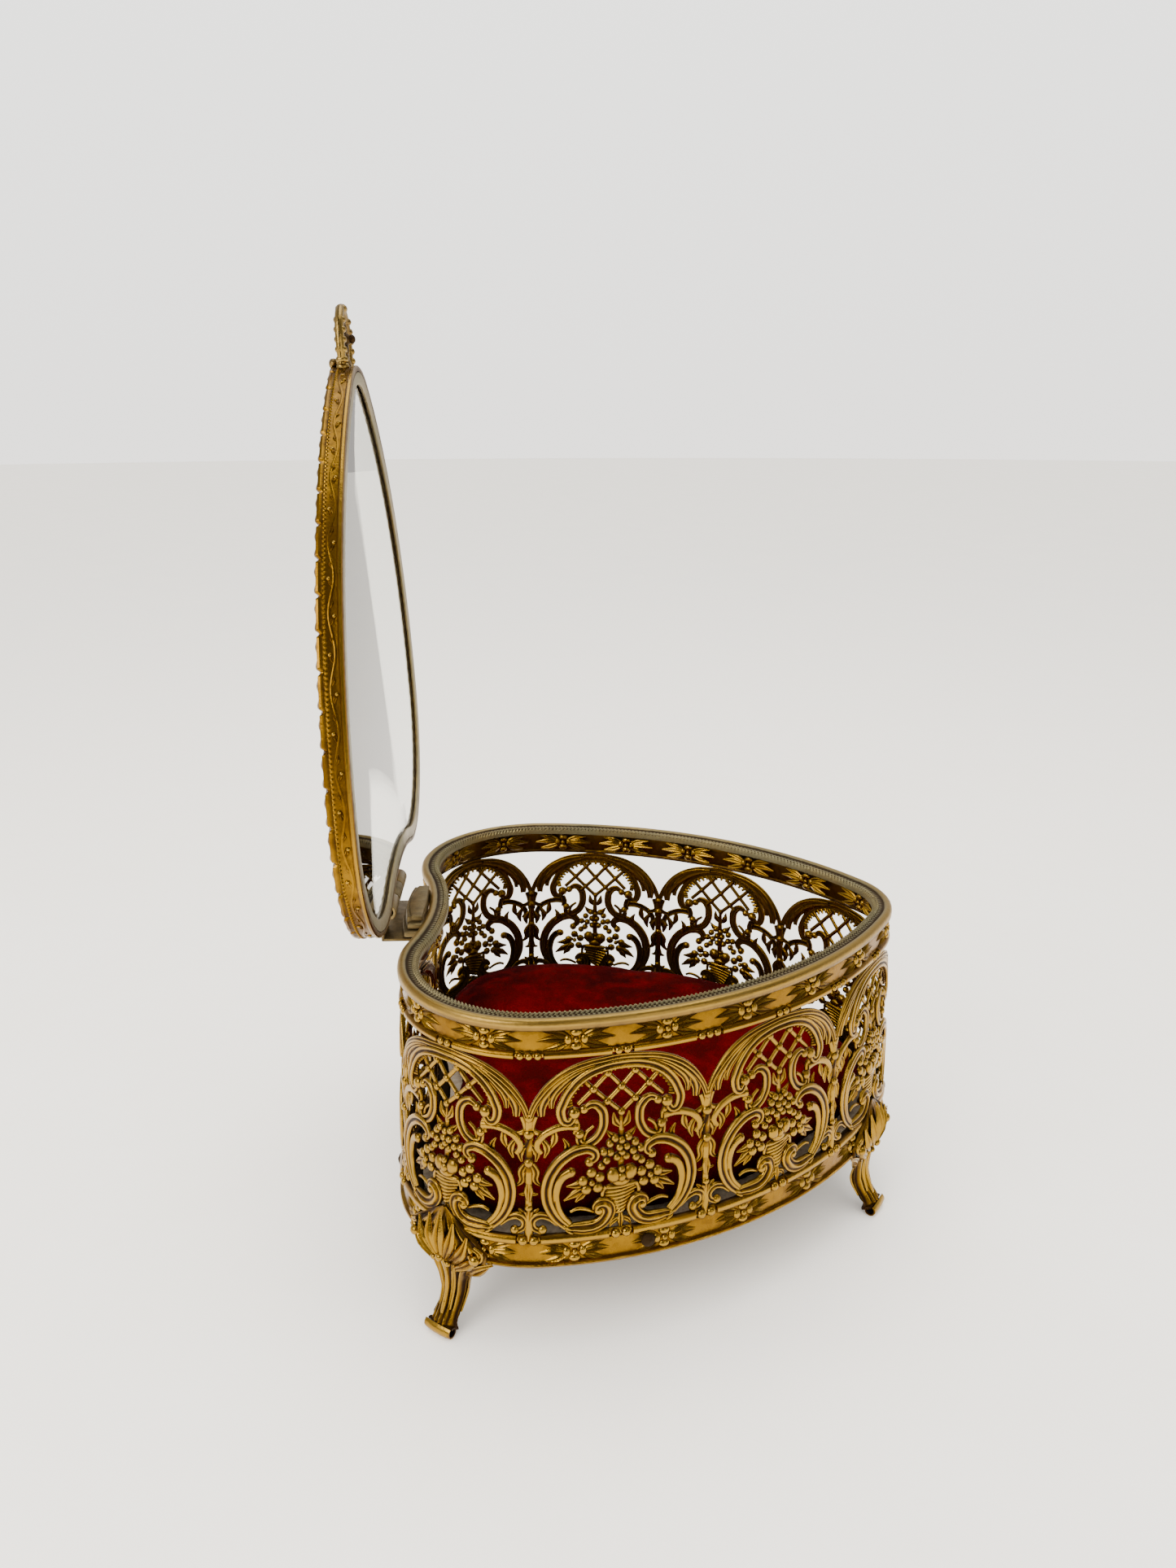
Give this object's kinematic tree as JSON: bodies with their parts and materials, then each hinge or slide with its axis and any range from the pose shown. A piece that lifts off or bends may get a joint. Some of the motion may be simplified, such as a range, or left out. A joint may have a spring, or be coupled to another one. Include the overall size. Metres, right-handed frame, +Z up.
{
  "type": "trinket box",
  "caption": "Heart-shaped trinket box with pierced brass sides on leaf feet, a velvet pad inside and a hinged bevelled glass lid with a lifting loop.",
  "frame": {"origin": "middle of the space the open box stands on, on the table", "axes": "+Z up, +Y from the heart's point towards the hinge at the cleft, +X across; the box is the same left and right of X = 0"},
  "size_m": [0.1458, 0.1518, 0.2449],
  "materials": {
    "gilt_brass": "antique gold plate, bright on the high relief and brown in the hollows",
    "tarnished_brass": "worn and dulled, greenish grey",
    "dark_brass": "dark and dull",
    "red_velvet": "short crushed pile",
    "cotton_filling": "loose wadding",
    "card_board": "grey-brown pasteboard",
    "lid_glass": "clear, bevelled edge"
  },
  "bodies": {
    "casket": {"rim_ring": "tarnished_brass", "upper_band": "gilt_brass", "gallery_panel_1": "gilt_brass", "gallery_panel_2": "gilt_brass", "gallery_panel_3": "gilt_brass", "gallery_panel_4": "gilt_brass", "gallery_panel_5": "gilt_brass", "gallery_panel_6": "gilt_brass", "gallery_panel_7": "gilt_brass", "gallery_panel_8": "gilt_brass", "gallery_panel_9": "gilt_brass", "gallery_panel_10": "gilt_brass", "lower_band": "gilt_brass", "foot_front_left": "gilt_brass", "foot_front_right": "gilt_brass", "foot_back_right": "gilt_brass", "foot_back_left": "gilt_brass", "base_pan": "dark_brass", "pan_rivet_1": "dark_brass", "pan_rivet_2": "dark_brass", "pan_rivet_3": "dark_brass", "pan_rivet_4": "dark_brass", "pan_rivet_5": "dark_brass", "cushion_board": "card_board", "velvet_cover": "red_velvet", "cushion_filling": "cotton_filling", "hinge_block": "tarnished_brass", "hinge_box_leaf": "gilt_brass", "hinge_pin": "dark_brass"},
    "lid": {"lid_band": "gilt_brass", "lid_retainer": "tarnished_brass", "lid_glass": "lid_glass", "hinge_lid_leaf": "tarnished_brass", "lid_pull": "gilt_brass"}
  },
  "joints": [
    {"name": "lid_hinge", "type": "hinge", "parent": "casket", "child": "lid", "pos_m": [0, 0.06693, 0.0914], "axis": [1, 0, 0], "range_deg": [0, 92]}
  ]
}
